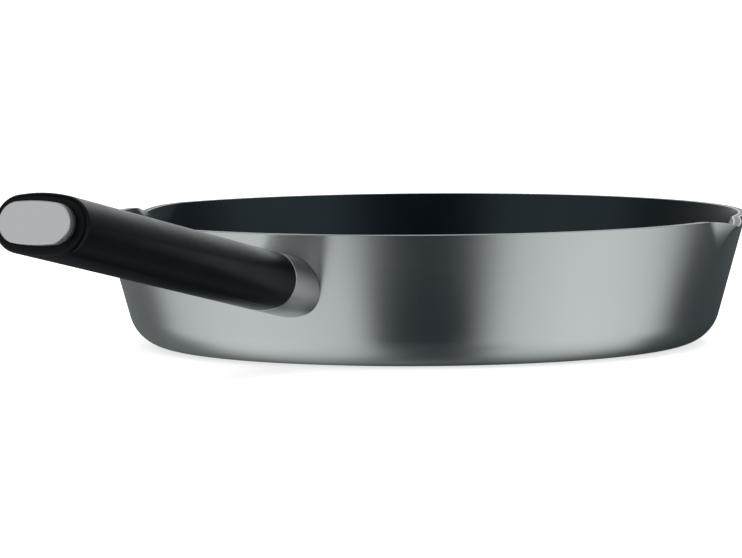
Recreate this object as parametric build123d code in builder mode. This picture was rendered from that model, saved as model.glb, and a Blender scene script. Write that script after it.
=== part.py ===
from build123d import *
import os
from math import atan2, cos, hypot, radians, sin, tan

# Omelette pan with two pouring lips and a screwed-on grip.
# Millimetres. The origin is the centre of the base's underside, +Z is up,
# and the handle points along -Y.

# Pan: main sizes
rim_radius = 120.0
pan_height = 48.3
wall_lean = 15.5
corner_radius = 15.0

# Pan: the layers of the sheet, from the outside in
outer_skin_thickness = 0.6
core_thickness = 1.7
inner_skin_thickness = 0.5
lining_thickness = 0.2

# Pouring lips
lip_angle = 93.0
lip_reach = 7.3
lip_flare_power = 2.5
lip_depth = 15.5
lip_half_angle = 8.5
lip_tip_radius = 6.0
lip_shoulder_radius = 12.0
lip_dip = 2.7
lip_dip_half_angle = 9.2
lip_dip_round = 6.0
lip_level_shares = [0.1, 0.3, 0.55, 0.78, 1.0]

# Handle: axis and grip
handle_tilt = 10.8
handle_height = 30.6
grip_start = 12.9
grip_end = 171.0
grip_root_width = 27.5
grip_middle_width = 31.2
grip_end_width = 35.3
grip_root_height = 21.4
grip_end_height = 21.0
grip_edge_round = 1.6
root_round_share = 0.95
end_round_share = 0.93

# Flame guard, the steel collar between the pan and the grip
guard_thickness = 1.0
guard_plate_thickness = 1.2
guard_edge_chamfer = 0.2
gasket_thickness = 0.7
gasket_inset = 0.3
guard_bite = 13.0

# Bracket welded to the wall, inside the flame guard
foot_thickness = 2.5
foot_round_share = 0.8
foot_step = 1.5
stem_round_share = 0.6
boss_radius = 5.0
boss_length = 5.5
weld_width = 1.6
weld_height = 1.4
weld_gap = 1.4
bracket_bite = 14.0

# Locating pins beside the boss
pin_radius = 1.25
pin_spacing = 13.5
pin_length = 10.0
pin_depth = 5.0
pin_wall = 1.0

# Tie screw through the grip, with its washers
screw_radius = 3.0
screw_shank_radius = 2.65
screw_thread_length = 18.0
screw_in_bracket = 9.0
screw_tip_chamfer = 0.6
bore_gap = 0.6
head_radius = 5.0
head_height = 6.0
head_chamfer = 0.5
socket_flats = 5.0
socket_depth = 3.0
washer_radius = 5.5
washer_thickness = 1.6
spring_washer_radius = 5.0
spring_washer_thickness = 1.5
spring_washer_slit = 0.8
head_pocket_radius = 5.8
head_pocket_floor = 145.0

# End cap
cap_width = 26.6
cap_height = 14.4
cap_round_share = 0.95
cap_reach = 4.0
cap_plate_thickness = 1.2
cap_plate_chamfer = 0.3
cap_groove_width = 0.9
cap_groove_depth = 1.1
plug_width = 19.0
plug_height = 11.4
plug_length = 12.0
plug_pocket_depth = 16.0
seal_width = 1.6
seal_depth = 1.0
seal_place = 3.2
stud_radius = 1.5
stud_head_radius = 2.2
stud_head_thickness = 0.7

# Spring clip that holds the cap's plug in the grip
clip_thickness = 0.6
clip_width = 7.0
clip_leg = 6.0
clip_bend = 0.9
clip_barb = 0.9
clip_barb_length = 1.6
clip_gap = 0.3
clip_travel = 1.0

# Clearances
seat_gap = 0.2
slide_gap = 0.15
thread_gap = 0.05
overrun = 3.0

lean = radians(wall_lean)
tilt = radians(handle_tilt)
lip_start = pan_height - lip_depth
cone_top = lip_start + lip_level_shares[0] * lip_depth
corner_centre_radius = rim_radius + (
    (corner_radius - pan_height) * sin(lean) - corner_radius
) / cos(lean)
layer_depths = [0.0]
for thickness in [outer_skin_thickness, core_thickness, inner_skin_thickness, lining_thickness]:
    layer_depths.append(layer_depths[-1] + thickness)


def wall_radius(height, inset):
    """Radius of the wall at a height, set in from the outside by a wall thickness."""
    return rim_radius - (pan_height - height) * tan(lean) - inset / cos(lean)


def lip_outline(share, inset):
    """One side of a pouring lip at a share of its depth, as points of its plan outline.

    The lip points along +X. The points run from the wall to the tip: where the shoulder
    leaves the wall, a point on the shoulder, where the straight flank starts, where it
    ends, and the tip.
    """
    height = lip_start + share * lip_depth
    wall = wall_radius(height, 0)
    flat_inset = inset / cos(lean)
    shoulder_angle = radians(lip_half_angle * share)
    tip_centre = wall + lip_reach * share**lip_flare_power - lip_tip_radius
    shoulder_x = (wall + lip_shoulder_radius) * cos(shoulder_angle)
    shoulder_y = (wall + lip_shoulder_radius) * sin(shoulder_angle)
    reach_x = shoulder_x - tip_centre
    distance = hypot(reach_x, shoulder_y)
    crossing = (lip_tip_radius + lip_shoulder_radius) / distance
    flank_angle = atan2(shoulder_y, reach_x) - atan2((1 - crossing**2) ** 0.5, crossing)
    middle_angle = (shoulder_angle + flank_angle) / 2
    shoulder = lip_shoulder_radius + flat_inset
    tip = lip_tip_radius - flat_inset
    points = [
        (shoulder_x - shoulder * cos(angle), shoulder_y - shoulder * sin(angle))
        for angle in [shoulder_angle, middle_angle, flank_angle]
    ]
    points.append((tip_centre + tip * cos(flank_angle), tip * sin(flank_angle)))
    points.append((tip_centre + tip, 0))
    return points


def turned(point, angle):
    """A plan point turned about the pan's centre by an angle in degrees."""
    turn = radians(angle)
    return (
        point[0] * cos(turn) - point[1] * sin(turn),
        point[0] * sin(turn) + point[1] * cos(turn),
    )


def lip_directions():
    """Compass directions of the right and left pouring lips, in degrees from +X."""
    return [lip_angle - 90, 270 - lip_angle]


def rim_outline(share, inset):
    """Plan outline of the whole wall at a share of the lips' depth, as sketch lines."""
    half = lip_outline(share, inset)
    whole = half + [(x, -y) for x, y in reversed(half[:-1])]
    right, left = [[turned(point, angle) for point in whole] for angle in lip_directions()]
    radius = hypot(*half[0])
    for side in [right, left]:
        ThreePointArc(side[0], side[1], side[2])
        Line(side[2], side[3])
        ThreePointArc(side[3], side[4], side[5])
        Line(side[5], side[6])
        ThreePointArc(side[6], side[7], side[8])
    ThreePointArc(right[0], (0, radius), left[8])
    ThreePointArc(right[8], (0, -radius), left[0])


def pan_volume(inset):
    """Solid volume inside the pan's outer surface, set in by a thickness."""
    corner = corner_radius - inset
    corner_end_x = corner_centre_radius + corner * cos(lean)
    corner_end_z = corner_radius - corner * sin(lean)
    middle = radians(-45) - lean / 2
    with BuildPart() as volume:
        with BuildSketch(Plane.XZ):
            with BuildLine():
                Line((0, cone_top), (0, inset))
                Line((0, inset), (corner_centre_radius, inset))
                ThreePointArc(
                    (corner_centre_radius, inset),
                    (
                        corner_centre_radius + corner * cos(middle),
                        corner_radius + corner * sin(middle),
                    ),
                    (corner_end_x, corner_end_z),
                )
                Line((corner_end_x, corner_end_z), (wall_radius(cone_top, inset), cone_top))
                Line((wall_radius(cone_top, inset), cone_top), (0, cone_top))
            make_face()
        revolve(axis=Axis.Z)
        for share in lip_level_shares:
            with BuildSketch(Plane.XY.offset(lip_start + share * lip_depth)):
                with BuildLine():
                    rim_outline(share, inset)
                make_face()
        loft()
    return volume.part


def wall_volume(inset):
    """Solid volume inside the pan's outer surface without its pouring lips."""
    with BuildPart() as volume:
        with BuildSketch(Plane.XZ):
            with BuildLine():
                Polyline(
                    (0, 0),
                    (wall_radius(0, inset), 0),
                    (wall_radius(pan_height, inset), pan_height),
                    (0, pan_height),
                    close=True,
                )
            make_face()
        revolve(axis=Axis.Z)
    return volume.part


def lip_dips():
    """Wedges that lower the rim at the two lips."""
    half_width = rim_radius * sin(radians(lip_dip_half_angle))
    with BuildPart() as dips:
        for angle in lip_directions():
            bearing = Vector(cos(radians(angle)), sin(radians(angle)), 0)
            across = Vector(-bearing.Y, bearing.X, 0)
            start = bearing * (rim_radius - lip_tip_radius - lip_reach)
            with BuildSketch(Plane(start, x_dir=across, z_dir=bearing)) as shape:
                with BuildLine():
                    TangentArc(
                        (-half_width, pan_height), (0, pan_height - lip_dip), tangent=(1, 0)
                    )
                    TangentArc(
                        (half_width, pan_height), (0, pan_height - lip_dip), tangent=(-1, 0)
                    )
                    Polyline(
                        (-half_width, pan_height),
                        (-half_width, pan_height + overrun),
                        (half_width, pan_height + overrun),
                        (half_width, pan_height),
                    )
                make_face()
                fillet(shape.vertices().sort_by(Axis.Y)[0], lip_dip_round)
            extrude(amount=2 * (lip_tip_radius + lip_reach))
    return dips.part


def handle_plane(distance):
    """Plane across the handle's axis, its X across the handle and its Y upwards.

    The distance is measured along the axis, outwards from the rim's radius.
    """
    origin = (
        0,
        -rim_radius - distance * cos(tilt),
        handle_height + distance * sin(tilt),
    )
    return Plane(origin=origin, x_dir=(1, 0, 0), z_dir=(0, -cos(tilt), sin(tilt)))


def side_plane(distance):
    """Upright plane along the handle's axis, its X outwards along the axis and its Y upwards."""
    across = handle_plane(distance)
    return Plane(origin=across.origin, x_dir=across.z_dir, z_dir=-across.x_dir)


def oval(width, height, round_share, inset):
    """Four-arc oval face. Its ends have a radius that is a share of half the height."""
    half_width = width / 2 - inset
    half_height = height / 2 - inset
    end_radius = round_share * height / 2 - inset
    side_radius = (half_width**2 - 2 * half_width * end_radius + half_height**2) / (
        2 * (half_height - end_radius)
    )
    end_centre = half_width - end_radius
    side_centre = side_radius - half_height
    slope = hypot(end_centre, side_centre)
    meet_x = end_centre + end_radius * end_centre / slope
    meet_y = end_radius * side_centre / slope
    with BuildSketch() as shape:
        with BuildLine():
            ThreePointArc((-meet_x, meet_y), (0, half_height), (meet_x, meet_y))
            ThreePointArc((meet_x, meet_y), (half_width, 0), (meet_x, -meet_y))
            ThreePointArc((meet_x, -meet_y), (0, -half_height), (-meet_x, -meet_y))
            ThreePointArc((-meet_x, -meet_y), (-half_width, 0), (-meet_x, meet_y))
        make_face()
    return shape.sketch


def save(part, label):
    """Name a finished piece and write it as a STEP file."""
    part.label = label
    export_step(part, f"parts/{label}.step")


os.makedirs("parts", exist_ok=True)

# Pan body: four layers of one pressed sheet, cut flat at the rim
volumes = [pan_volume(depth) for depth in layer_depths]
dips = lip_dips()

with BuildPart() as outer_skin:
    add(volumes[0])
    add(volumes[1], mode=Mode.SUBTRACT)
    add(dips, mode=Mode.SUBTRACT)
save(outer_skin.part, "outer_skin")

with BuildPart() as heat_core:
    add(volumes[1])
    add(volumes[2], mode=Mode.SUBTRACT)
    add(dips, mode=Mode.SUBTRACT)
save(heat_core.part, "heat_core")

with BuildPart() as inner_skin:
    add(volumes[2])
    add(volumes[3], mode=Mode.SUBTRACT)
    add(dips, mode=Mode.SUBTRACT)
save(inner_skin.part, "inner_skin")

with BuildPart() as nonstick_lining:
    add(volumes[3])
    add(volumes[4], mode=Mode.SUBTRACT)
    add(dips, mode=Mode.SUBTRACT)
save(nonstick_lining.part, "nonstick_lining")

# Bracket: what the flame guard and the pins leave for its foot and stem
foot_width = grip_root_width - 2 * (guard_thickness + weld_gap + weld_width)
foot_height = grip_root_height - 2 * (guard_thickness + weld_gap + weld_width)
foot_round = foot_round_share * foot_height / 2
stem_width = pin_spacing + 2 * (pin_radius + pin_wall)
stem_height = foot_height - 2 * foot_step
stem_round = stem_round_share * stem_height / 2

# Places along the handle's axis
gasket_start = grip_start - gasket_thickness
guard_plate_start = gasket_start - guard_plate_thickness
boss_end = guard_plate_start + boss_length
collar_end = grip_end + cap_reach - cap_plate_thickness - cap_groove_width
cap_plate_start = grip_end + cap_reach - cap_plate_thickness
plug_end = grip_end - plug_length
plug_pocket_end = grip_end - plug_pocket_depth
washer_end = head_pocket_floor + washer_thickness
head_start = washer_end + spring_washer_thickness
screw_start = guard_plate_start - screw_in_bracket
seal_start = grip_end - seal_place - seal_width
clip_outside = plug_height / 2 - clip_gap
clip_inside = clip_outside - clip_thickness
seat_volume = wall_volume(-seat_gap)

# Bracket: a foot that follows the wall, a stem and a boss with the tapped hole
with BuildPart() as handle_bracket:
    with BuildSketch(handle_plane(-bracket_bite)):
        RectangleRounded(foot_width, foot_height, foot_round)
    extrude(amount=2 * bracket_bite)
    add(wall_volume(-seat_gap - foot_thickness), mode=Mode.INTERSECT)
    with BuildSketch(handle_plane(-bracket_bite)):
        RectangleRounded(stem_width, stem_height, stem_round)
    extrude(amount=bracket_bite + guard_plate_start)
    with BuildSketch(handle_plane(guard_plate_start)):
        Circle(boss_radius)
    extrude(amount=boss_length)
    add(seat_volume, mode=Mode.SUBTRACT)
    with BuildSketch(handle_plane(screw_start - thread_gap)):
        Circle(screw_radius + thread_gap)
    extrude(amount=boss_end - screw_start + overrun, mode=Mode.SUBTRACT)
    with BuildSketch(handle_plane(guard_plate_start - pin_depth)):
        with GridLocations(pin_spacing, 0, 2, 1):
            Circle(pin_radius + thread_gap)
    extrude(amount=pin_depth + overrun, mode=Mode.SUBTRACT)
save(handle_bracket.part, "handle_bracket")

# Weld bead around the bracket's foot
with BuildPart() as bracket_weld:
    with BuildSketch(handle_plane(-bracket_bite)):
        RectangleRounded(
            foot_width + 2 * weld_width, foot_height + 2 * weld_width, foot_round + weld_width
        )
        RectangleRounded(foot_width, foot_height, foot_round, mode=Mode.SUBTRACT)
    extrude(amount=2 * bracket_bite)
    add(wall_volume(-seat_gap - weld_height), mode=Mode.INTERSECT)
    add(seat_volume, mode=Mode.SUBTRACT)
save(bracket_weld.part, "bracket_weld")

# Flame guard: a thin collar, cut to the wall, with a plate towards the grip
with BuildPart() as flame_guard:
    with BuildSketch(handle_plane(-guard_bite)):
        add(oval(grip_root_width, grip_root_height, root_round_share, 0))
    extrude(amount=guard_bite + gasket_start)
    chamfer(flame_guard.faces().sort_by(Axis.Y)[0].edges(), guard_edge_chamfer)
    with BuildSketch(handle_plane(-guard_bite - overrun)):
        add(oval(grip_root_width, grip_root_height, root_round_share, guard_thickness))
    extrude(amount=guard_bite + overrun + guard_plate_start, mode=Mode.SUBTRACT)
    with BuildSketch(handle_plane(guard_plate_start - overrun)):
        Circle(boss_radius + slide_gap)
        with GridLocations(pin_spacing, 0, 2, 1):
            Circle(pin_radius + slide_gap)
    extrude(amount=2 * overrun + guard_plate_thickness, mode=Mode.SUBTRACT)
    add(seat_volume, mode=Mode.SUBTRACT)
save(flame_guard.part, "flame_guard")

# Gasket between the flame guard and the grip
with BuildPart() as heat_gasket:
    with BuildSketch(handle_plane(gasket_start)):
        add(oval(grip_root_width, grip_root_height, root_round_share, gasket_inset))
        Circle(boss_radius + slide_gap, mode=Mode.SUBTRACT)
        with GridLocations(pin_spacing, 0, 2, 1):
            Circle(pin_radius + slide_gap, mode=Mode.SUBTRACT)
    extrude(amount=gasket_thickness)
save(heat_gasket.part, "heat_gasket")

# Pins that stop the grip from turning on the bracket
with BuildPart() as locating_pins:
    with BuildSketch(handle_plane(guard_plate_start - pin_depth)):
        with GridLocations(pin_spacing, 0, 2, 1):
            Circle(pin_radius)
    extrude(amount=pin_length)
save(locating_pins.part, "locating_pins")

# Grip: a lofted sleeve, bored for the screw, its head and the cap's plug
with BuildPart() as grip_sleeve:
    with BuildSketch(handle_plane(grip_start)):
        add(oval(grip_root_width, grip_root_height, root_round_share, 0))
    with BuildSketch(handle_plane((grip_start + grip_end) / 2)):
        add(
            oval(
                grip_middle_width,
                (grip_root_height + grip_end_height) / 2,
                (root_round_share + end_round_share) / 2,
                0,
            )
        )
    with BuildSketch(handle_plane(grip_end)):
        add(oval(grip_end_width, grip_end_height, end_round_share, 0))
    loft()
    fillet(grip_sleeve.faces().sort_by(Axis.Y)[0].edges(), grip_edge_round)
    with BuildSketch(handle_plane(grip_start - overrun)):
        Circle(screw_radius + bore_gap)
    extrude(amount=grip_end - grip_start + overrun, mode=Mode.SUBTRACT)
    with BuildSketch(handle_plane(grip_start - overrun)):
        Circle(boss_radius + slide_gap)
    extrude(amount=overrun + boss_end - grip_start + slide_gap, mode=Mode.SUBTRACT)
    with BuildSketch(handle_plane(grip_start - overrun)):
        with GridLocations(pin_spacing, 0, 2, 1):
            Circle(pin_radius + slide_gap)
    extrude(
        amount=overrun + guard_plate_start - pin_depth + pin_length - grip_start + slide_gap,
        mode=Mode.SUBTRACT,
    )
    with BuildSketch(handle_plane(head_pocket_floor)):
        Circle(head_pocket_radius)
    extrude(amount=plug_pocket_end - head_pocket_floor, mode=Mode.SUBTRACT)
    with BuildSketch(handle_plane(plug_pocket_end)):
        add(oval(plug_width, plug_height, cap_round_share, -slide_gap))
    extrude(amount=plug_pocket_depth + overrun, mode=Mode.SUBTRACT)
    with BuildSketch(handle_plane(plug_end + clip_leg - clip_barb_length)):
        Rectangle(clip_width + 2 * clip_gap, 2 * (clip_outside + clip_barb + clip_gap))
    extrude(amount=clip_barb_length + clip_gap, mode=Mode.SUBTRACT)
save(grip_sleeve.part, "grip_sleeve")

# Tie screw: a long shank with a thread at its tip and a socket in its head
with BuildPart() as tie_screw:
    with BuildSketch(handle_plane(screw_start)):
        Circle(screw_shank_radius)
    extrude(amount=head_start - screw_start)
    with BuildSketch(handle_plane(screw_start)):
        Circle(screw_radius)
    extrude(amount=screw_thread_length)
    chamfer(tie_screw.faces().sort_by(Axis.Y)[-1].edges(), screw_tip_chamfer)
    with BuildSketch(handle_plane(head_start)):
        Circle(head_radius)
    extrude(amount=head_height)
    chamfer(tie_screw.faces().sort_by(Axis.Y)[0].edges(), head_chamfer)
    with BuildSketch(handle_plane(head_start + head_height - socket_depth)):
        RegularPolygon(socket_flats / 2, 6, major_radius=False)
    extrude(amount=socket_depth, mode=Mode.SUBTRACT)
save(tie_screw.part, "tie_screw")

with BuildPart() as clamp_washer:
    with BuildSketch(handle_plane(head_pocket_floor)):
        Circle(washer_radius)
        Circle(screw_radius + slide_gap, mode=Mode.SUBTRACT)
    extrude(amount=washer_thickness)
save(clamp_washer.part, "clamp_washer")

with BuildPart() as spring_washer:
    with BuildSketch(handle_plane(washer_end)):
        Circle(spring_washer_radius)
        Circle(screw_radius + slide_gap, mode=Mode.SUBTRACT)
        with Locations((spring_washer_radius, 0)):
            Rectangle(2 * spring_washer_radius, spring_washer_slit, mode=Mode.SUBTRACT)
    extrude(amount=spring_washer_thickness)
save(spring_washer.part, "spring_washer")

# End cap: a plate on a grooved neck, with a plug that goes into the grip
with BuildPart() as end_cap:
    with BuildSketch(handle_plane(cap_plate_start)):
        add(oval(cap_width, cap_height, cap_round_share, 0))
    extrude(amount=cap_plate_thickness)
    chamfer(end_cap.faces().sort_by(Axis.Y)[0].edges(), cap_plate_chamfer)
    with BuildSketch(handle_plane(collar_end)):
        add(oval(cap_width, cap_height, cap_round_share, cap_groove_depth))
    extrude(amount=cap_groove_width)
    with BuildSketch(handle_plane(plug_end)):
        add(oval(plug_width, plug_height, cap_round_share, 0))
    extrude(amount=collar_end - plug_end)
    with BuildSketch(handle_plane(seal_start)):
        add(oval(plug_width, plug_height, cap_round_share, -slide_gap))
        add(oval(plug_width, plug_height, cap_round_share, seal_depth), mode=Mode.SUBTRACT)
    extrude(amount=seal_width, mode=Mode.SUBTRACT)
    with BuildSketch(handle_plane(plug_end)):
        Rectangle(clip_width + 2 * slide_gap, plug_height + 2 * overrun)
        Rectangle(clip_width + 2 * slide_gap, 2 * (clip_inside - clip_travel), mode=Mode.SUBTRACT)
    extrude(amount=clip_leg + clip_gap, mode=Mode.SUBTRACT)
    with BuildSketch(handle_plane(plug_end - clip_thickness)):
        Circle(stud_radius)
    extrude(amount=clip_thickness)
    with BuildSketch(handle_plane(plug_end - clip_thickness - stud_head_thickness)):
        Circle(stud_head_radius)
    extrude(amount=stud_head_thickness)
save(end_cap.part, "end_cap")

# Collar between the grip and the cap's plate, a groove's width away from the plate
with BuildPart() as cap_collar:
    with BuildSketch(handle_plane(grip_end)):
        add(oval(cap_width, cap_height, cap_round_share, 0))
        add(oval(plug_width, plug_height, cap_round_share, -slide_gap), mode=Mode.SUBTRACT)
    extrude(amount=collar_end - grip_end)
save(cap_collar.part, "cap_collar")

# Rubber seal in the plug's groove
with BuildPart() as cap_seal:
    with BuildSketch(handle_plane(seal_start)):
        add(oval(plug_width, plug_height, cap_round_share, 0))
        add(oval(plug_width, plug_height, cap_round_share, seal_depth), mode=Mode.SUBTRACT)
    extrude(amount=seal_width)
save(cap_seal.part, "cap_seal")

# Spring clip folded around the plug's inner end, with a barb on each leg
with BuildPart() as cap_clip:
    with BuildSketch(side_plane(plug_end)) as clip_profile:
        with BuildLine():
            Polyline(
                (-clip_thickness, 0),
                (-clip_thickness, clip_outside),
                (clip_leg - clip_barb_length, clip_outside),
                (clip_leg, clip_outside + clip_barb),
                (clip_leg, clip_inside + clip_barb),
                (clip_leg - clip_barb_length, clip_inside),
                (0, clip_inside),
                (0, 0),
                close=True,
            )
        make_face()
        mirror(about=Plane.XZ)
        fillet(clip_profile.vertices().group_by(Axis.X)[0], clip_bend)
    extrude(amount=clip_width / 2, both=True)
    with BuildSketch(handle_plane(plug_end - clip_thickness)):
        Circle(stud_radius + slide_gap)
    extrude(amount=clip_thickness, mode=Mode.SUBTRACT)
save(cap_clip.part, "cap_clip")
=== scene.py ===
"""Omelette pan with two pouring lips, dressed in its finishes on a pale studio floor.

Lengths are in metres and angles in radians. The origin is the centre of the base's
underside, +Z is up and the handle points along -Y.
"""

from __future__ import annotations

import logging
from dataclasses import dataclass, field
from enum import Enum
from math import acos, atan2, cos, hypot, pi, radians, sin, sqrt, tan

import bmesh
import bpy
from mathutils import Matrix, Vector

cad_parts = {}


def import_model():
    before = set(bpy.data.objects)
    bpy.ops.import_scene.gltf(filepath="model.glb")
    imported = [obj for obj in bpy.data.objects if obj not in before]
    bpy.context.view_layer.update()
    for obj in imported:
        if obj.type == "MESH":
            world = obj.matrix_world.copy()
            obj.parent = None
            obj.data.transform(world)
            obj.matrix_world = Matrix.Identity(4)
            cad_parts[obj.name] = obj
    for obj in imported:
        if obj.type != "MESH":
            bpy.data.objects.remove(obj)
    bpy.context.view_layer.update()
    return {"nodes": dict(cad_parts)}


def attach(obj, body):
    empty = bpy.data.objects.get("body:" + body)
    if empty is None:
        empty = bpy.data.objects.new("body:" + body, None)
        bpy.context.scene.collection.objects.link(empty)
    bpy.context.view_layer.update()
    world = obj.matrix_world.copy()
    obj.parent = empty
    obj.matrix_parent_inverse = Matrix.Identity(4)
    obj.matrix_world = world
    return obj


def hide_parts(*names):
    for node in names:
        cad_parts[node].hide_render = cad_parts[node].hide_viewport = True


LOG = logging.getLogger("omelette_pan")
BODY = "root"
TINY = 1e-6
QUARTER_TURN = 0.25
ROOM_RED = 0.97
ROOM_GREEN_LIFT = 0.008
ROOM_BLUE_LIFT = 0.016
SHARP_ANGLE = radians(35.0)


class Surface(Enum):
    """Which way a fine line finish runs on a steel piece."""

    ROUND = "round the pan's axis"
    STRAIGHT = "along the handle"


class Links:
    """Adds nodes to a node tree and joins them, so that a material reads as a short list."""

    def __init__(self, tree: bpy.types.NodeTree) -> None:
        """Start with an empty tree.

        Args:
            tree: The node tree of a material or of the world.
        """
        self.tree = tree
        self.tree.nodes.clear()

    def node(self, kind: str, **settings: object) -> bpy.types.Node:
        """Add a node and set its options.

        Args:
            kind: The node's type name.
            **settings: Attributes of the node, such as operation="MULTIPLY".

        Returns:
            The new node.
        """
        made = self.tree.nodes.new(kind)
        for name, value in settings.items():
            setattr(made, name, value)
        return made

    def feed(self, node: bpy.types.Node, socket: str | int, source: object) -> None:
        """Set a socket to a value, or join it to another node's output.

        Args:
            node: The node that takes the input.
            socket: The input's name or index.
            source: A number, a tuple or an output socket.
        """
        if isinstance(source, bpy.types.NodeSocket):
            self.tree.links.new(source, node.inputs[socket])
        else:
            node.inputs[socket].default_value = source

    def math(self, operation: str, *values: object) -> bpy.types.NodeSocket:
        """Add a Math node.

        Args:
            operation: The operation's name.
            *values: One to three numbers or sockets.

        Returns:
            The result.
        """
        made = self.node("ShaderNodeMath", operation=operation)
        for index, value in enumerate(values):
            self.feed(made, index, value)
        return made.outputs[0]

    def spread(
        self, value: object, low: float, high: float, new_low: float, new_high: float
    ) -> bpy.types.NodeSocket:
        """Map a value from one range to another, and hold it at the ends.

        Args:
            value: The number or socket to map.
            low: The start of its range.
            high: The end of its range.
            new_low: The result at the start.
            new_high: The result at the end.

        Returns:
            The mapped value.
        """
        made = self.node("ShaderNodeMapRange", interpolation_type="SMOOTHSTEP")
        for name, number in zip(
            ("Value", "From Min", "From Max", "To Min", "To Max"),
            (value, low, high, new_low, new_high),
        ):
            self.feed(made, name, number)
        return made.outputs["Result"]

    def ramp(
        self, value: object, stops: tuple[tuple[float, float], ...]
    ) -> bpy.types.NodeSocket:
        """Map a value through grey stops, whose dark end is a little blue.

        Args:
            value: The number or socket to map, from 0 to 1.
            stops: Pairs of a place and a grey level.

        Returns:
            The grey colour.
        """
        made = self.node("ShaderNodeValToRGB")
        made.color_ramp.interpolation = "EASE"
        elements = made.color_ramp.elements
        while len(elements) < len(stops):
            elements.new(0.5)
        for element, (place, level) in zip(elements, stops):
            element.position = place
            green, blue = level + ROOM_GREEN_LIFT, level + ROOM_BLUE_LIFT
            element.color = rgb(ROOM_RED * level, green, blue)
        self.feed(made, "Fac", value)
        return made.outputs["Color"]

    def mix(self, share: object, first: object, second: object) -> bpy.types.NodeSocket:
        """Mix two colours.

        Args:
            share: How much of the second colour there is.
            first: A colour or a socket.
            second: A colour or a socket.

        Returns:
            The mixed colour.
        """
        made = self.node("ShaderNodeMix", data_type="RGBA")
        self.feed(made, 0, share)
        self.feed(made, 6, first)
        self.feed(made, 7, second)
        return made.outputs[2]

    def split(self, vector: object) -> tuple[bpy.types.NodeSocket, ...]:
        """Take a vector apart.

        Args:
            vector: The vector's socket.

        Returns:
            Its three parts.
        """
        made = self.node("ShaderNodeSeparateXYZ")
        self.feed(made, 0, vector)
        return tuple(made.outputs)

    def join(self, *parts: object) -> bpy.types.NodeSocket:
        """Put a vector together.

        Args:
            *parts: Up to three numbers or sockets, and zero for the rest.

        Returns:
            The vector.
        """
        made = self.node("ShaderNodeCombineXYZ")
        for index, part in enumerate(parts):
            self.feed(made, index, part)
        return made.outputs[0]

    def bump(self, height: object, strength: float, distance: float) -> bpy.types.NodeSocket:
        """Add a Bump node.

        Args:
            height: The pattern that it reads.
            strength: How much it counts.
            distance: The pattern's full height.

        Returns:
            The bent normal.
        """
        made = self.node("ShaderNodeBump")
        self.feed(made, "Strength", strength)
        self.feed(made, "Distance", distance)
        self.feed(made, "Height", height)
        return made.outputs[0]

    def show(
        self, surface: bpy.types.NodeSocket, kind: str = "ShaderNodeOutputMaterial"
    ) -> None:
        """Join a shader to the tree's output.

        Args:
            surface: The shader's output.
            kind: The output node's type name.
        """
        self.feed(self.node(kind), "Surface", surface)

    def noise(
        self, vector: object, scale: float, detail: float = 2.0, roughness: float = 0.5
    ) -> bpy.types.NodeSocket:
        """Add a noise pattern.

        Args:
            vector: The coordinates that it reads.
            scale: Its scale, in features for each unit.
            detail: How many finer layers it has.
            roughness: How strong the finer layers are.

        Returns:
            The pattern, from 0 to 1.
        """
        made = self.node("ShaderNodeTexNoise")
        self.feed(made, "Vector", vector)
        self.feed(made, "Scale", scale)
        self.feed(made, "Detail", detail)
        self.feed(made, "Roughness", roughness)
        return made.outputs["Fac"]


def rgb(red: float, green: float, blue: float) -> tuple[float, float, float, float]:
    """A colour with full opacity."""
    return (red, green, blue, 1.0)


def grey(level: float) -> tuple[float, float, float, float]:
    """A grey with full opacity."""
    return rgb(level, level, level)


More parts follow.
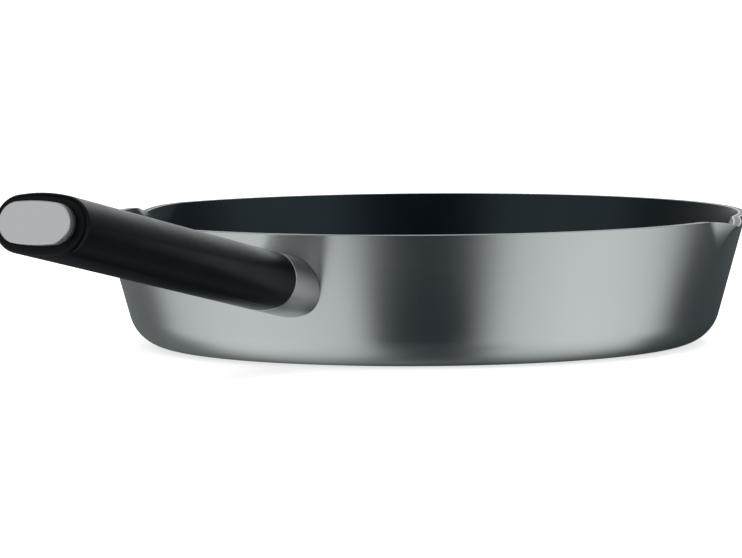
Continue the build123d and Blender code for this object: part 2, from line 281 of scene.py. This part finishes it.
@dataclass(frozen=True)
class BrushedSteel:
    """Stainless steel with a fine line finish, such as the outside of the pan."""

    name: str
    surface: Surface = Surface.ROUND
    colour: tuple[float, float, float] = (0.62, 0.64, 0.635)
    roughness: float = 0.295
    roughness_change: float = 0.015
    stretch: float = 0.75
    line_pitch: float = 0.0007
    line_length: float = 0.030
    line_dim: float = 0.96
    line_share: float = 0.4
    wear: tuple[float, float] = (0.3, 0.7)
    patch_scale: float = 40.0
    wave: float = 0.0018
    wave_height: float = 0.0000008
    wave_strength: float = 0.5
    haze_start: float = 0.012
    haze_end: float = 0.048
    haze: float = 0.0

    def make(self) -> bpy.types.Material:
        """Build the material.

        Returns:
            The material, with its lines along the surface's own direction.
        """
        material = bpy.data.materials.new(self.name)
        material.use_nodes = True
        links = Links(material.node_tree)
        place = links.node("ShaderNodeTexCoord").outputs["Object"]
        lines = self.line_place(links, place)
        fine = links.noise(lines, 1.0, 1.0)
        broad = links.noise(place, self.patch_scale)
        shader = links.node("ShaderNodeBsdfPrincipled")
        links.feed(shader, "Metallic", 1.0)
        links.feed(shader, "Anisotropic", self.stretch)
        links.feed(shader, "Anisotropic Rotation", QUARTER_TURN)
        worn = links.math(
            "ADD",
            links.math("MULTIPLY", fine, self.line_share),
            links.math("MULTIPLY", broad, 1.0 - self.line_share),
        )
        low = self.roughness - self.roughness_change
        high = self.roughness + self.roughness_change
        gloss = links.spread(worn, *self.wear, low, high)
        height = links.split(place)[2]
        haze = links.spread(height, self.haze_start, self.haze_end, 0.0, self.haze)
        links.feed(shader, "Roughness", links.math("ADD", gloss, haze))
        dim = tuple(self.line_dim * level for level in self.colour)
        links.feed(shader, "Base Color", links.mix(fine, rgb(*dim), rgb(*self.colour)))
        tangent = links.node("ShaderNodeTangent", direction_type="RADIAL", axis="Z")
        if self.surface is Surface.STRAIGHT:
            tangent.axis = "Y"
        links.feed(shader, "Tangent", tangent.outputs[0])
        waves = links.noise(place, 1.0 / self.wave, 1.0)
        links.feed(shader, "Normal", links.bump(waves, self.wave_strength, self.wave_height))
        links.show(shader.outputs[0])
        return material

    def line_place(
        self, links: Links, place: bpy.types.NodeSocket
    ) -> bpy.types.NodeSocket:
        """Stretch the coordinates so that a noise becomes long fine lines.

        Args:
            links: The material's node tree.
            place: Object coordinates.

        Returns:
            Coordinates that change slowly along a line and fast across it.
        """
        east, north, up = links.split(place)
        if self.surface is Surface.STRAIGHT:
            return links.join(
                links.math("DIVIDE", east, self.line_pitch),
                links.math("DIVIDE", north, self.line_length),
                links.math("DIVIDE", up, self.line_pitch),
            )
        length = links.node("ShaderNodeVectorMath", operation="LENGTH")
        links.feed(length, 0, links.join(east, north))
        across = links.math("ADD", up, length.outputs["Value"])
        return links.join(
            links.math("DIVIDE", east, self.line_length),
            links.math("DIVIDE", north, self.line_length),
            links.math("DIVIDE", across, self.line_pitch),
        )


@dataclass(frozen=True)
class Moulded:
    """A dull moulded or coated surface, such as the grip's resin or the pan's lining."""

    name: str
    colour: tuple[float, float, float]
    roughness: float
    roughness_change: float
    grain: float
    grain_height: float
    sheen_level: float = 0.5
    sheen_tint: tuple[float, float, float] = (1.0, 1.0, 1.0)
    grain_dim: float = 0.8
    grain_strength: float = 0.3
    wear: tuple[float, float] = (0.35, 0.65)
    patch_scale: float = 55.0

    def make(self) -> bpy.types.Material:
        """Build the material.

        Returns:
            The material, with a fine grain and slow changes of gloss.
        """
        material = bpy.data.materials.new(self.name)
        material.use_nodes = True
        links = Links(material.node_tree)
        place = links.node("ShaderNodeTexCoord").outputs["Object"]
        fine = links.noise(place, 1.0 / self.grain, 3.0, 0.6)
        broad = links.noise(place, self.patch_scale, 3.0)
        shader = links.node("ShaderNodeBsdfPrincipled")
        links.feed(shader, "Specular IOR Level", self.sheen_level)
        links.feed(shader, "Specular Tint", rgb(*self.sheen_tint))
        low = self.roughness - self.roughness_change
        high = self.roughness + self.roughness_change
        links.feed(shader, "Roughness", links.spread(broad, *self.wear, low, high))
        dim = tuple(self.grain_dim * level for level in self.colour)
        links.feed(shader, "Base Color", links.mix(fine, rgb(*dim), rgb(*self.colour)))
        bent = links.bump(fine, self.grain_strength, self.grain_height)
        links.feed(shader, "Normal", bent)
        links.show(shader.outputs[0])
        return material


@dataclass
class Finishes:
    """Every finish of the pan, and the CAD nodes that wear them."""

    wall_steel: BrushedSteel = BrushedSteel("wall_steel", haze=0.06)
    guard_steel: BrushedSteel = BrushedSteel(
        "guard_steel", surface=Surface.STRAIGHT, colour=(0.55, 0.56, 0.56), roughness=0.30
    )
    cap_steel: BrushedSteel = BrushedSteel(
        "cap_steel",
        surface=Surface.STRAIGHT,
        colour=(0.70, 0.70, 0.70),
        roughness=0.38,
        stretch=0.0,
    )
    plain_steel: BrushedSteel = BrushedSteel(
        "plain_steel_finish",
        surface=Surface.STRAIGHT,
        colour=(0.5, 0.5, 0.49),
        roughness=0.4,
        stretch=0.0,
    )
    core: BrushedSteel = BrushedSteel(
        "core_edge", colour=(0.30, 0.31, 0.32), roughness=0.45, stretch=0.2
    )
    lining: Moulded = Moulded(
        "lining_coat",
        colour=(0.0018, 0.0042, 0.0070),
        roughness=0.30,
        roughness_change=0.02,
        grain=0.0006,
        grain_height=0.000002,
        sheen_level=0.45,
        sheen_tint=(0.68, 0.90, 1.0),
    )
    grip: Moulded = Moulded(
        "grip_resin",
        colour=(0.0012, 0.0019, 0.0026),
        roughness=0.30,
        roughness_change=0.02,
        grain=0.0005,
        grain_height=0.000002,
        sheen_level=0.17,
        sheen_tint=(0.80, 0.94, 1.0),
    )
    rubber: Moulded = Moulded(
        "seal_rubber",
        colour=(0.012, 0.012, 0.012),
        roughness=0.6,
        roughness_change=0.05,
        grain=0.0004,
        grain_height=0.000006,
    )
    made: dict[str, bpy.types.Material] = field(default_factory=dict)

    def material(self, finish: BrushedSteel | Moulded) -> bpy.types.Material:
        """Make a finish once, and give it again when it is asked for again.

        Args:
            finish: One of the finishes above.

        Returns:
            Its material.
        """
        if finish.name not in self.made:
            self.made[finish.name] = finish.make()
        return self.made[finish.name]

    def dress(self, nodes: dict[str, bpy.types.Object]) -> None:
        """Put a finish on every CAD node.

        Args:
            nodes: The CAD nodes by name.
        """
        worn = {
            "outer_skin": self.wall_steel,
            "inner_skin": self.wall_steel,
            "heat_core": self.core,
            "nonstick_lining": self.lining,
            "flame_guard": self.guard_steel,
            "grip_sleeve": self.grip,
            "end_cap": self.cap_steel,
            "cap_collar": self.cap_steel,
            "heat_gasket": self.rubber,
            "cap_seal": self.rubber,
        }
        for name, piece in nodes.items():
            material = self.material(worn.get(name, self.plain_steel))
            piece.data.materials.clear()
            piece.data.materials.append(material)
            LOG.info("%s wears %s", name, material.name)


@dataclass(frozen=True)
class Layer:
    """One layer of the pan's sheet, between two depths from the outside."""

    name: str
    node: str
    slot: str
    outer: float
    inner: float
    outer_round: float = 0.0
    inner_round: float = 0.0


@dataclass(frozen=True)
class LipPlan:
    """A pouring lip's plan outline at one height and depth, with the lip along +X."""

    wall: float
    tip_centre: float
    tip: float
    shoulder_distance: float
    shoulder_angle: float
    shoulder: float
    flank_start: Vector
    flank_end: Vector

    def radius(self, turn: float) -> float:
        """Distance of the outline from the pan's axis.

        Args:
            turn: The angle from the lip's direction, either way.

        Returns:
            The radius in metres.
        """
        turn = abs(turn)
        if turn >= self.shoulder_angle:
            return self.wall
        if turn <= atan2(self.flank_end.y, self.flank_end.x):
            side = self.tip_centre * sin(turn)
            return self.tip_centre * cos(turn) + sqrt(self.tip**2 - side**2)
        if turn >= atan2(self.flank_start.y, self.flank_start.x):
            off = turn - self.shoulder_angle
            side = self.shoulder_distance * sin(off)
            return self.shoulder_distance * cos(off) - sqrt(self.shoulder**2 - side**2)
        along = self.flank_end - self.flank_start
        ray = Vector((cos(turn), sin(turn)))
        return along.cross(self.flank_start) / along.cross(ray)


@dataclass(frozen=True)
class PanSheet:
    """The pan's pressed sheet: base, corner, leaning wall, ground rim and two lips."""

    rim_radius: float = 0.120
    height: float = 0.0483
    lean: float = radians(15.5)
    corner_radius: float = 0.015
    lip_directions: tuple[float, float] = (radians(3.0), radians(177.0))
    lip_reach: float = 0.0073
    lip_flare_power: float = 2.5
    lip_depth: float = 0.0155
    lip_half_angle: float = radians(8.5)
    lip_tip_radius: float = 0.006
    lip_shoulder_radius: float = 0.012
    lip_dip: float = 0.0027
    lip_dip_half_angle: float = radians(9.2)
    lip_dip_round: float = 0.006
    lip_sector: float = radians(26.0)
    lip_steps: int = 130
    arc_steps: int = 190
    run_steps: int = 10
    layers: tuple[Layer, ...] = (
        Layer("outer_shell", "outer_skin", "polished_steel", 0.0, 0.0006, outer_round=0.0002),
        Layer("core_layer", "heat_core", "core_aluminium", 0.0006, 0.0023),
        Layer("inner_shell", "inner_skin", "polished_steel", 0.0023, 0.0028),
        Layer(
            "coated_lining",
            "nonstick_lining",
            "nonstick_coating",
            0.0028,
            0.0030,
            inner_round=0.00008,
        ),
    )
    base_rings: tuple[float, ...] = (0.0, 0.030, 0.060, 0.080)
    seen_corner_steps: int = 18
    hidden_corner_steps: int = 9
    edge_lead: float = 2.5
    wall_rings: int = 3
    lip_rings: tuple[float, ...] = (0.1, 0.2, 0.3, 0.4, 0.5, 0.6, 0.7, 0.78, 0.85, 0.91, 0.955)
    round_shares: tuple[float, ...] = (0.0, 0.25, 0.5, 0.75, 1.0)
    lip_passes: int = 5

    @property
    def lip_start(self) -> float:
        """Height at which the lips leave the wall."""
        return self.height - self.lip_depth

    def wall_radius(self, height: float, inset: float) -> float:
        """Radius of the wall.

        Args:
            height: The height above the base.
            inset: The depth from the outside, square to the wall.

        Returns:
            The radius in metres.
        """
        rise = (self.height - height) * tan(self.lean)
        return self.rim_radius - rise - inset / cos(self.lean)

    def corner_point(self, angle: float, inset: float) -> tuple[float, float]:
        """Point of the rounded corner between the base and the wall.

        Args:
            angle: The angle of its normal, from -90 degrees at the base.
            inset: The depth from the outside.

        Returns:
            Its radius and its height.
        """
        drop = (self.corner_radius - self.height) * sin(self.lean) - self.corner_radius
        centre = self.rim_radius + drop / cos(self.lean)
        size = self.corner_radius - inset
        return centre + size * cos(angle), self.corner_radius + size * sin(angle)

    def rim_height(self, across: float) -> float:
        """Height of the rim beside a lip's middle.

        Args:
            across: The distance from the lip's middle plane.

        Returns:
            The height above the base.
        """
        across = abs(across)
        half_width = self.rim_radius * sin(self.lip_dip_half_angle)
        if across >= half_width:
            return self.height
        arc = (half_width**2 + self.lip_dip**2) / (2 * self.lip_dip)
        both = arc + self.lip_dip_round
        if across < half_width * self.lip_dip_round / both:
            centre = self.height - arc + sqrt(both**2 - half_width**2)
            return centre - sqrt(self.lip_dip_round**2 - across**2)
        return self.height - arc + sqrt(arc**2 - (half_width - across) ** 2)

    def lip_plan(self, height: float, inset: float) -> LipPlan:
        """Plan outline of a lip.

        Args:
            height: The height above the base.
            inset: The depth from the outside.

        Returns:
            The outline, with its shoulder, its straight flank and its tip.
        """
        share = max(0.0, (height - self.lip_start) / self.lip_depth)
        wall = self.wall_radius(height, 0.0)
        flat_inset = inset / cos(self.lean)
        shoulder_angle = self.lip_half_angle * share
        tip_centre = wall + self.lip_reach * share**self.lip_flare_power - self.lip_tip_radius
        distance = wall + self.lip_shoulder_radius
        middle = Vector((distance * cos(shoulder_angle), distance * sin(shoulder_angle)))
        reach = Vector((middle.x - tip_centre, middle.y))
        crossing = (self.lip_tip_radius + self.lip_shoulder_radius) / reach.length
        flank = atan2(reach.y, reach.x) - acos(crossing)
        facing = Vector((cos(flank), sin(flank)))
        shoulder = self.lip_shoulder_radius + flat_inset
        tip = self.lip_tip_radius - flat_inset
        return LipPlan(
            wall=wall - flat_inset,
            tip_centre=tip_centre,
            tip=tip,
            shoulder_distance=distance,
            shoulder_angle=shoulder_angle,
            shoulder=shoulder,
            flank_start=middle - shoulder * facing,
            flank_end=Vector((tip_centre, 0.0)) + tip * facing,
        )

    def side_profile(self, inset: float, corner_steps: int) -> list[tuple[float, float]]:
        """Half section of one face of the sheet, from the axis to just under the rim.

        Args:
            inset: The face's depth from the outside.
            corner_steps: How many straight runs make the corner.

        Returns:
            Pairs of a radius and a height.
        """
        points = [(radius, inset) for radius in self.base_rings]
        for step in range(corner_steps + 1):
            angle = -pi / 2 + (pi / 2 - self.lean) * step / corner_steps
            points.append(self.corner_point(angle, inset))
        low = points[-1][1]
        for step in range(1, self.wall_rings + 1):
            height = low + (self.lip_start - low) * step / self.wall_rings
            points.append((self.wall_radius(height, inset), height))
        for share in self.lip_rings:
            height = self.lip_start + share * self.lip_depth
            points.append((self.wall_radius(height, inset), height))
        return points

    def edge_round(self, inset: float, size: float, outer: bool) -> list[tuple[float, float]]:
        """Small arc between a face of the sheet and the ground rim.

        Args:
            inset: The face's depth from the outside.
            size: The arc's radius, or zero for a sharp edge.
            outer: Whether the face is the outer one.

        Returns:
            Pairs of a radius and a height, from the face to the rim's land.
        """
        edge = self.wall_radius(self.height, inset)
        if size == 0.0:
            return [(edge, self.height)]
        opening = pi / 2 - self.lean if outer else pi / 2 + self.lean
        setback = size / tan(opening / 2)
        side = -1.0 if outer else 1.0
        centre = (edge + side * setback, self.height - size)
        face_angle = -self.lean if outer else pi - self.lean
        top_angle = pi / 2
        points = []
        for share in self.round_shares:
            angle = face_angle + (top_angle - face_angle) * share
            points.append((centre[0] + size * cos(angle), centre[1] + size * sin(angle)))
        below = self.height - self.edge_lead * size
        return [(self.wall_radius(below, inset), below)] + points

    def profile(self, layer: Layer) -> list[Vector]:
        """Closed half section of a layer, out along its outer face and back inside.

        Args:
            layer: The layer.

        Returns:
            Points in the upright plane through +X.
        """
        seen = layer.outer == 0.0 or layer.inner_round > 0.0
        corner_steps = self.seen_corner_steps if seen else self.hidden_corner_steps
        outside = self.side_profile(layer.outer, corner_steps)
        outside += self.edge_round(layer.outer, layer.outer_round, True)
        inside = self.side_profile(layer.inner, corner_steps)
        inside += self.edge_round(layer.inner, layer.inner_round, False)
        return [Vector((radius, 0.0, height)) for radius, height in outside + inside[::-1]]

    def shape_lips(self, shape: bmesh.types.BMesh) -> None:
        """Push the round wall out into the two lips and lower the rim there.

        Args:
            shape: The spun layer.
        """
        for vert in shape.verts:
            if vert.co.z <= self.lip_start:
                continue
            radius = hypot(vert.co.x, vert.co.y)
            bearing = atan2(vert.co.y, vert.co.x)
            for direction in self.lip_directions:
                turn = (bearing - direction + pi) % (2 * pi) - pi
                if abs(turn) < self.lip_sector / 2:
                    radius, height = self.lip_place(turn, radius, vert.co.z)
                    vert.co = Vector((radius * cos(bearing), radius * sin(bearing), height))

    def lip_place(self, turn: float, radius: float, height: float) -> tuple[float, float]:
        """Where a point of the round wall goes in a lip.

        Args:
            turn: The point's angle from the lip's direction.
            radius: Its radius in the round wall.
            height: Its height in the round wall.

        Returns:
            Its radius and its height in the lip.
        """
        inset = (self.wall_radius(height, 0.0) - radius) * cos(self.lean)
        share = (height - self.lip_start) / self.lip_depth
        for _ in range(self.lip_passes):
            rim = self.rim_height(radius * sin(turn))
            lowered = self.lip_start + share * (rim - self.lip_start)
            radius = self.lip_plan(lowered, inset).radius(turn)
        return radius, lowered

    def build(self, finishes: Finishes) -> None:
        """Make every layer of the sheet.

        Args:
            finishes: The pan's finishes.
        """
        worn = {
            "outer_skin": finishes.wall_steel,
            "heat_core": finishes.core,
            "inner_skin": finishes.wall_steel,
            "nonstick_lining": finishes.lining,
        }
        for layer in self.layers:
            shape = self.spin(layer)
            self.shape_lips(shape)
            bmesh.ops.recalc_face_normals(shape, faces=shape.faces)
            piece = finished(shape, layer.name, finishes.material(worn[layer.node]))
            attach(piece, BODY)
            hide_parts(layer.node)

    def spin(self, layer: Layer) -> bmesh.types.BMesh:
        """Spin a layer's half section round the axis, finer at the lips.

        Args:
            layer: The layer.

        Returns:
            The closed round layer.
        """
        shape = bmesh.new()
        profile = self.profile(layer)
        right, left = self.lip_directions
        gap = left - right - self.lip_sector
        rest = 2 * pi - gap - 2 * self.lip_sector
        start = right - self.lip_sector / 2
        for angle, steps in (
            (self.lip_sector, self.lip_steps),
            (gap, self.arc_steps),
            (self.lip_sector, self.lip_steps),
            (rest, self.arc_steps),
        ):
            self.add_sector(shape, profile, start, angle, steps // self.run_steps)
            start += angle
        bmesh.ops.remove_doubles(shape, verts=shape.verts, dist=TINY)
        return shape

    def add_sector(
        self,
        shape: bmesh.types.BMesh,
        profile: list[Vector],
        start: float,
        angle: float,
        runs: int,
    ) -> None:
        """Add one sector of a layer, made of turned copies of a short spun run.

        Args:
            shape: The layer so far.
            profile: The layer's closed half section.
            start: The sector's first direction.
            angle: The sector's angle.
            runs: How many copies of the run fill the sector.
        """
        run = bmesh.new()
        verts = [run.verts.new(point) for point in profile]
        for first, second in zip(verts, verts[1:]):
            run.edges.new((first, second))
        bmesh.ops.spin(
            run,
            geom=run.verts[:] + run.edges[:],
            cent=(0, 0, 0),
            axis=(0, 0, 1),
            angle=angle / runs,
            steps=self.run_steps,
        )
        for index in range(runs):
            placed = bpy.data.meshes.new("sheet_run")
            run.to_mesh(placed)
            placed.transform(Matrix.Rotation(start + index * angle / runs, 4, "Z"))
            shape.from_mesh(placed)
            bpy.data.meshes.remove(placed)
        run.free()


def finished(
    shape: bmesh.types.BMesh, name: str, material: bpy.types.Material
) -> bpy.types.Object:
    """Turn a bmesh into a smooth-shaded object at the origin.

    Args:
        shape: The bmesh, which is freed.
        name: The new object's name.
        material: Its finish.

    Returns:
        The new object.
    """
    mesh = bpy.data.meshes.new(name)
    shape.to_mesh(mesh)
    shape.free()
    mesh.shade_smooth()
    mesh.set_sharp_from_angle(angle=SHARP_ANGLE)
    mesh.materials.append(material)
    piece = bpy.data.objects.new(name, mesh)
    bpy.context.scene.collection.objects.link(piece)
    LOG.info("%s has %d faces", name, len(mesh.polygons))
    return piece


@dataclass(frozen=True)
class PhotoCamera:
    """The camera of the photograph, placed about the pan's axis."""

    distance: float = 1.9767
    bearing: float = radians(25.58)
    elevation: float = radians(5.16)
    yaw: float = radians(-0.577)
    pitch: float = radians(4.474)
    roll: float = radians(0.423)
    focal_pixels: float = 5291.0
    image_width: float = 742.0
    sensor_width: float = 36.0

    def make(self) -> None:
        """Create the camera and make it the scene's camera."""
        turn = Matrix.Rotation(self.bearing, 3, "Z")
        place = turn @ Vector(
            (0.0, -self.distance * cos(self.elevation), self.distance * sin(self.elevation))
        )
        forward = turn @ Vector(
            (
                sin(self.yaw) * cos(self.pitch),
                cos(self.yaw) * cos(self.pitch),
                -sin(self.pitch),
            )
        )
        level = turn @ Vector((cos(self.yaw), -sin(self.yaw), 0.0))
        down = forward.cross(level)
        right = cos(self.roll) * level + sin(self.roll) * down
        up = sin(self.roll) * level - cos(self.roll) * down
        axes = Matrix((right, up, -forward)).transposed().to_4x4()
        data = bpy.data.cameras.new("photo_camera")
        data.sensor_width = self.sensor_width
        data.lens = self.focal_pixels / self.image_width * self.sensor_width
        data.clip_start = 0.05
        data.clip_end = 30.0
        camera = bpy.data.objects.new("photo_camera", data)
        camera.matrix_world = Matrix.Translation(place) @ axes
        bpy.context.scene.collection.objects.link(camera)
        bpy.context.scene.camera = camera
        LOG.info("camera stands at %s", tuple(round(x, 4) for x in place))


@dataclass(frozen=True)
class RoomBand:
    """One height of the room that gloss reflects, as grey levels at bearings in degrees.

    The band takes over from the one below it between start and end, which are sines of
    the elevation. A bearing of zero points to the studio's front and grows towards +X.
    """

    name: str
    start: float
    end: float
    stops: tuple[tuple[float, float], ...]

    def places(self) -> tuple[tuple[float, float], ...]:
        """The stops with each bearing as a place from 0 to 1."""
        return tuple((0.5 + bearing / 360.0, level) for bearing, level in self.stops)


# The studio straight below the pan, from its left side at -1 to its right side at 1.
STRIP_BELOW = (
    (-1.0, 0.60), (-0.42, 0.52), (-0.25, 0.11), (0.0, 0.04), (0.30, 0.05), (0.50, 0.30),
    (1.0, 0.60),
)
# A dark card at the front between two pale sheets, which four of the bands share.
FRONT_CARD = ((-30.0, 0.75), (-18.0, 0.02), (17.0, 0.01), (36.0, 0.75))
ROOM = (
    RoomBand(
        "under the corner",
        -0.985,
        -0.955,
        (
            (-180.0, 0.05), (-170.0, 0.10), (-130.0, 0.60), (-90.0, 0.75), (-50.0, 0.65),
            (-26.0, 0.08), (39.0, 0.05), (73.0, 0.65), (100.0, 0.70), (130.0, 0.50),
            (165.0, 0.07), (180.0, 0.07),
        ),
    ),
    RoomBand(
        "floor beside the pan",
        -0.92,
        -0.83,
        (
            (-180.0, 0.25), (-105.0, 0.85), (-70.0, 0.85), (-37.0, 0.70), (-19.0, 0.05),
            (17.0, 0.03), (57.0, 0.80), (97.0, 0.80), (180.0, 0.20),
        ),
    ),
    RoomBand(
        "near floor",
        -0.80,
        -0.72,
        ((-180.0, 0.10), (-168.0, 0.27), (-145.0, 0.40), (-112.0, 0.80), (-92.0, 0.87))
        + FRONT_CARD
        + ((70.0, 0.92), (97.0, 0.85), (165.0, 0.10), (180.0, 0.05)),
    ),
    RoomBand(
        "middle floor",
        -0.70,
        -0.62,
        ((-180.0, 0.02), (-160.0, 0.15), (-135.0, 0.18), (-111.0, 0.80), (-92.0, 0.87))
        + FRONT_CARD
        + ((70.0, 0.90), (101.0, 0.82), (129.0, 0.07), (180.0, 0.01)),
    ),
    RoomBand(
        "far floor",
        -0.48,
        -0.36,
        ((-180.0, 0.02), (-165.0, 0.15), (-132.0, 0.13), (-113.0, 0.73), (-45.0, 0.80))
        + FRONT_CARD
        + ((70.0, 0.87), (97.0, 0.80), (120.0, 0.05), (180.0, 0.03)),
    ),
    RoomBand(
        "walls",
        -0.10,
        0.04,
        ((-180.0, 0.95), (-166.0, 0.95), (-147.0, 0.30), (-98.0, 0.15), (-75.0, 0.67))
        + FRONT_CARD
        + ((75.0, 0.66), (98.0, 0.11), (138.0, 0.18), (165.0, 0.95), (180.0, 0.95)),
    ),
    RoomBand(
        "upper walls",
        0.55,
        0.70,
        (
            (-180.0, 0.55), (-120.0, 0.30), (-95.0, 0.03), (-30.0, 0.03), (0.0, 0.20),
            (60.0, 0.50), (180.0, 0.55),
        ),
    ),
    RoomBand("ceiling", 0.93, 0.985, ((-180.0, 0.45), (180.0, 0.45))),
)


@dataclass(frozen=True)
class Lamp:
    """A large soft lamp that faces the pan."""

    name: str
    place: tuple[float, float, float]
    width: float
    power: float

    def make(self) -> None:
        """Hang the lamp, unseen in gloss."""
        data = bpy.data.lights.new(self.name, "AREA")
        data.size = self.width
        data.energy = self.power
        lamp = bpy.data.objects.new(self.name, data)
        lamp.visible_glossy = False
        lamp.location = self.place
        facing = -Vector(self.place)
        lamp.rotation_euler = facing.to_track_quat("-Z", "Y").to_euler()
        bpy.context.scene.collection.objects.link(lamp)


@dataclass(frozen=True)
class Studio:
    """Pale floor, soft lamps and the room that polished steel reflects."""

    floor_half: float = 9.0
    floor_drop: float = 0.0002
    paper_level: float = 0.85
    paper_glow: float = 0.55
    room_bearing: float = radians(25.33)
    level: float = 0.85
    strip_half: float = 0.45  # half width of the strip below, seen straight down
    strip_growth: float = 0.46  # how much wider it is at the horizon
    lamps: tuple[Lamp, ...] = (
        Lamp("overhead_lamp", (0.3, 0.5, 1.6), 1.4, 8.0),
        Lamp("front_lamp", (0.1, -0.8, 1.6), 1.0, 3.0),
    )

    def make(self) -> None:
        """Build the floor, the world and the lamps, and set the plain view transform."""
        bpy.context.scene.view_settings.view_transform = "Standard"
        self.make_floor()
        self.make_world()
        for lamp in self.lamps:
            lamp.make()

    def make_floor(self) -> None:
        """Lay the pale floor just under the base."""
        shape = bmesh.new()
        bmesh.ops.create_grid(shape, x_segments=1, y_segments=1, size=self.floor_half)
        bmesh.ops.translate(shape, vec=(0.0, 0.0, -self.floor_drop), verts=shape.verts)
        mesh = bpy.data.meshes.new("studio_floor")
        shape.to_mesh(mesh)
        shape.free()
        floor = bpy.data.objects.new("studio_floor", mesh)
        bpy.context.scene.collection.objects.link(floor)
        floor.visible_glossy = False
        mesh.materials.append(self.floor_material())

    def floor_material(self) -> bpy.types.Material:
        """White floor that keeps a soft shadow.

        Returns:
            The floor's material.
        """
        material = bpy.data.materials.new("floor_paper")
        material.use_nodes = True
        links = Links(material.node_tree)
        paper = links.node("ShaderNodeBsdfDiffuse")
        links.feed(paper, "Color", grey(self.paper_level))
        glow = links.node("ShaderNodeEmission")
        links.feed(glow, "Color", grey(1.0))
        links.feed(glow, "Strength", self.paper_glow)
        both = links.node("ShaderNodeAddShader")
        links.feed(both, 0, paper.outputs[0])
        links.feed(both, 1, glow.outputs[0])
        rays = links.node("ShaderNodeLightPath")
        seen = links.node("ShaderNodeMixShader")
        links.feed(seen, 0, rays.outputs["Is Camera Ray"])
        links.feed(seen, 1, paper.outputs[0])
        links.feed(seen, 2, both.outputs[0])
        links.show(seen.outputs[0])
        return material

    def make_world(self) -> None:
        """Make the world: white to the camera, plain to the light, a room to gloss."""
        world = bpy.data.worlds.new("studio_world")
        world.use_nodes = True
        bpy.context.scene.world = world
        links = Links(world.node_tree)
        toward = links.node("ShaderNodeTexCoord").outputs["Generated"]
        turned = links.node("ShaderNodeVectorRotate", rotation_type="Z_AXIS")
        links.feed(turned, "Vector", toward)
        links.feed(turned, "Angle", -self.room_bearing)
        east, north, up = links.split(turned.outputs[0])
        bearing = links.math("ARCTAN2", east, links.math("MULTIPLY", north, -1.0))
        share = links.math("MULTIPLY_ADD", bearing, 0.5 / pi, 0.5)
        flat = links.math("SQRT", links.math("SUBTRACT", 1.0, links.math("MULTIPLY", up, up)))
        reach = links.math("MULTIPLY_ADD", flat, self.strip_growth, self.strip_half)
        side = links.math("DIVIDE", east, reach)
        below = tuple((0.5 + 0.5 * place, level) for place, level in STRIP_BELOW)
        room = links.ramp(links.math("MULTIPLY_ADD", side, 0.5, 0.5), below)
        for band in ROOM:
            taken = links.spread(up, band.start, band.end, 0.0, 1.0)
            room = links.mix(taken, room, links.ramp(share, band.places()))
        rays = links.node("ShaderNodeLightPath")
        plain = grey(self.level)
        lit = links.mix(rays.outputs["Is Glossy Ray"], plain, room)
        shown = links.mix(rays.outputs["Is Camera Ray"], lit, grey(1.0))
        background = links.node("ShaderNodeBackground")
        links.feed(background, "Color", shown)
        links.show(background.outputs[0], "ShaderNodeOutputWorld")


def main() -> None:
    """Load the frame, dress the pan and set the studio."""
    logging.basicConfig(level=logging.INFO, format="%(message)s")
    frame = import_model()
    finishes = Finishes()
    finishes.dress(frame["nodes"])
    PanSheet().build(finishes)
    PhotoCamera().make()
    Studio().make()


if __name__ == "__main__":
    main()
